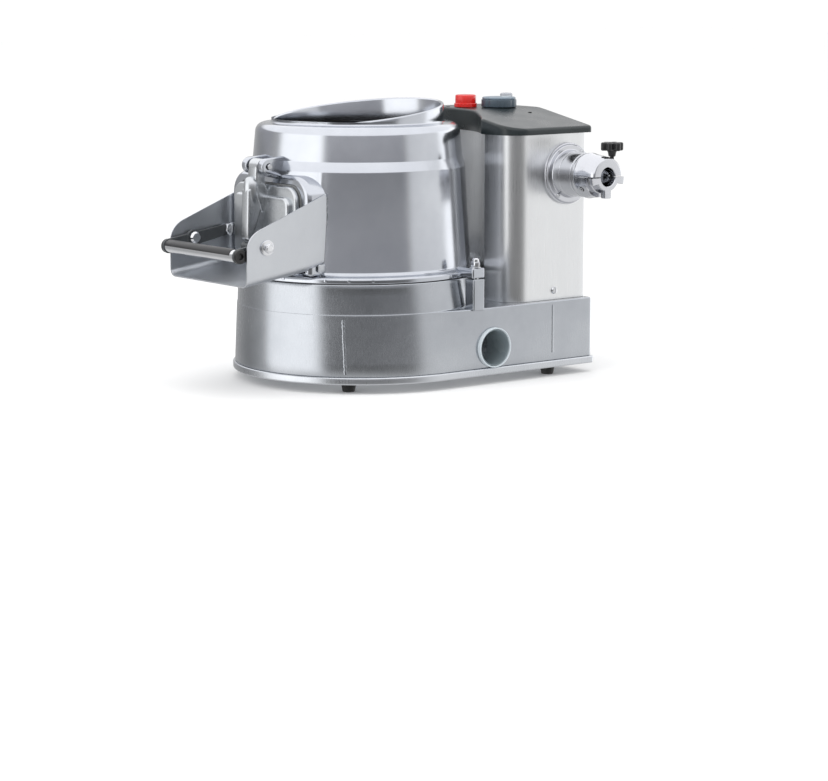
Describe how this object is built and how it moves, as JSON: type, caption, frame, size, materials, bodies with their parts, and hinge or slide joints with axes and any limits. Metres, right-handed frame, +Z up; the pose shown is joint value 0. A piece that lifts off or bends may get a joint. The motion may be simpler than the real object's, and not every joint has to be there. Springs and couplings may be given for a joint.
{
  "type": "drum vegetable peeler",
  "caption": "Countertop drum peeler with a rear motor column, front discharge door and chute, latch bail, top controls and an accessory drive socket on one side.",
  "frame": {"origin": "under the middle of the whole machine, at counter level under the feet", "axes": "+Z up; -Y towards the discharge door and chute; +Y towards the motor column; +X towards the side with the drain outlet and the accessory drive"},
  "size_m": [0.4856, 0.613, 0.4243],
  "materials": {
    "cast_aluminium": "cast and linished, softly reflective",
    "door_aluminium": "fine sand-cast, satin",
    "sheet_steel": "brushed stainless sheet",
    "satin_steel": "satin turned",
    "bright_steel": "bright plated",
    "hub_steel": "machined, bright edges",
    "dark_plate": "dark grey, semi-matt",
    "slate_plastic": "dark slate, semi-gloss",
    "black_plastic": "black, semi-matt",
    "foot_rubber": "matt black",
    "seal_rubber": "matt black",
    "pale_plastic": "pale, semi-gloss",
    "red_plastic": "signal red, semi-gloss",
    "slate_blue_plastic": "slate blue, semi-gloss",
    "clear_plastic": "clear cap over a tinted button",
    "grit": "coarse bonded abrasive",
    "bearing_brass": "plain bearing bronze",
    "motor_paint": "grey enamel"
  },
  "bodies": {
    "machine": {"base_pan": "sheet_steel", "base_casing": "cast_aluminium", "foot_front_r": "foot_rubber", "foot_front_l": "foot_rubber", "foot_rear_r": "foot_rubber", "foot_rear_l": "foot_rubber", "drain_pipe": "pale_plastic", "drum": "cast_aluminium", "drum_seal": "seal_rubber", "abrasive_liner": "grit", "drum_bolt_r": "bright_steel", "drum_bolt_l": "bright_steel", "chute": "sheet_steel", "pivot_bolt_r": "bright_steel", "pivot_bolt_l": "bright_steel", "door_seal": "seal_rubber", "hinge_pin": "satin_steel", "column": "sheet_steel", "column_screw_r": "bright_steel", "column_screw_l": "bright_steel", "cover": "slate_plastic", "stop_collar": "red_plastic", "start_collar": "black_plastic", "drive_housing": "hub_steel", "housing_screw_1": "satin_steel", "housing_screw_2": "satin_steel", "drive_socket": "hub_steel", "socket_lugs": "hub_steel", "set_screw": "satin_steel", "drive_bearing": "bearing_brass", "bearing_low": "bright_steel", "bearing_high": "bright_steel", "shaft_seal": "seal_rubber", "belt": "seal_rubber", "motor": "motor_paint", "cable_gland": "black_plastic"},
    "door_leaf": {"door": "door_aluminium", "door_catch": "dark_plate"},
    "latch": {"latch_arm_r": "dark_plate", "latch_arm_l": "dark_plate", "latch_tube": "satin_steel", "latch_cap_r": "black_plastic", "latch_cap_l": "black_plastic", "latch_nut_r": "bright_steel", "latch_nut_l": "bright_steel", "latch_stud": "dark_plate"},
    "rotor": {"turntable": "cast_aluminium", "abrasive_disc": "grit", "main_shaft": "satin_steel", "belt_pulley": "cast_aluminium"},
    "motor_rotor": {"motor_shaft": "satin_steel"},
    "drive_rotor": {"drive_shaft": "satin_steel"},
    "timer": {"timer_knob": "slate_blue_plastic"},
    "stop": {"stop_button": "red_plastic"},
    "start": {"start_button": "clear_plastic"},
    "clamp": {"clamp_knob": "black_plastic"}
  },
  "joints": [
    {"name": "door_swing", "type": "hinge", "parent": "machine", "child": "door_leaf", "pos_m": [-0.0428, -0.1945, 0.331], "axis": [-1, 0, 0], "range_deg": [0, 70]},
    {"name": "latch_lift", "type": "hinge", "parent": "machine", "child": "latch", "pos_m": [-0.0428, -0.2515, 0.221], "axis": [-1, 0, 0], "range_deg": [0, 30]},
    {"name": "turntable_spin", "type": "hinge", "parent": "machine", "child": "rotor", "pos_m": [-0.0428, -0.0105, 0.12], "axis": [0, 0, 1], "continuous": true},
    {"name": "motor_spin", "type": "hinge", "parent": "machine", "child": "motor_rotor", "pos_m": [-0.1128, 0.2325, 0.2], "axis": [0, 0, 1], "continuous": true},
    {"name": "drive_spin", "type": "hinge", "parent": "machine", "child": "drive_rotor", "pos_m": [0.0572, 0.25, 0.3095], "axis": [1, 0, 0], "continuous": true},
    {"name": "timer_turn", "type": "hinge", "parent": "machine", "child": "timer", "pos_m": [-0.0048, 0.2375, 0.41], "axis": [0, 0, -1], "range_deg": [0, 300]},
    {"name": "stop_press", "type": "slide", "parent": "machine", "child": "stop", "axis": [0, 0, -1], "range_m": [0, 0.003]},
    {"name": "start_press", "type": "slide", "parent": "machine", "child": "start", "axis": [0, 0, -1], "range_m": [0, 0.003]},
    {"name": "clamp_turn", "type": "hinge", "parent": "machine", "child": "clamp", "pos_m": [0.2252, 0.268, 0.35], "axis": [0, 0, 1], "range_deg": [0, 180]}
  ],
  "couplings": [
    {"joint": "motor_spin", "follows": "turntable_spin", "ratio": 4},
    {"joint": "drive_spin", "follows": "turntable_spin", "ratio": 1}
  ]
}
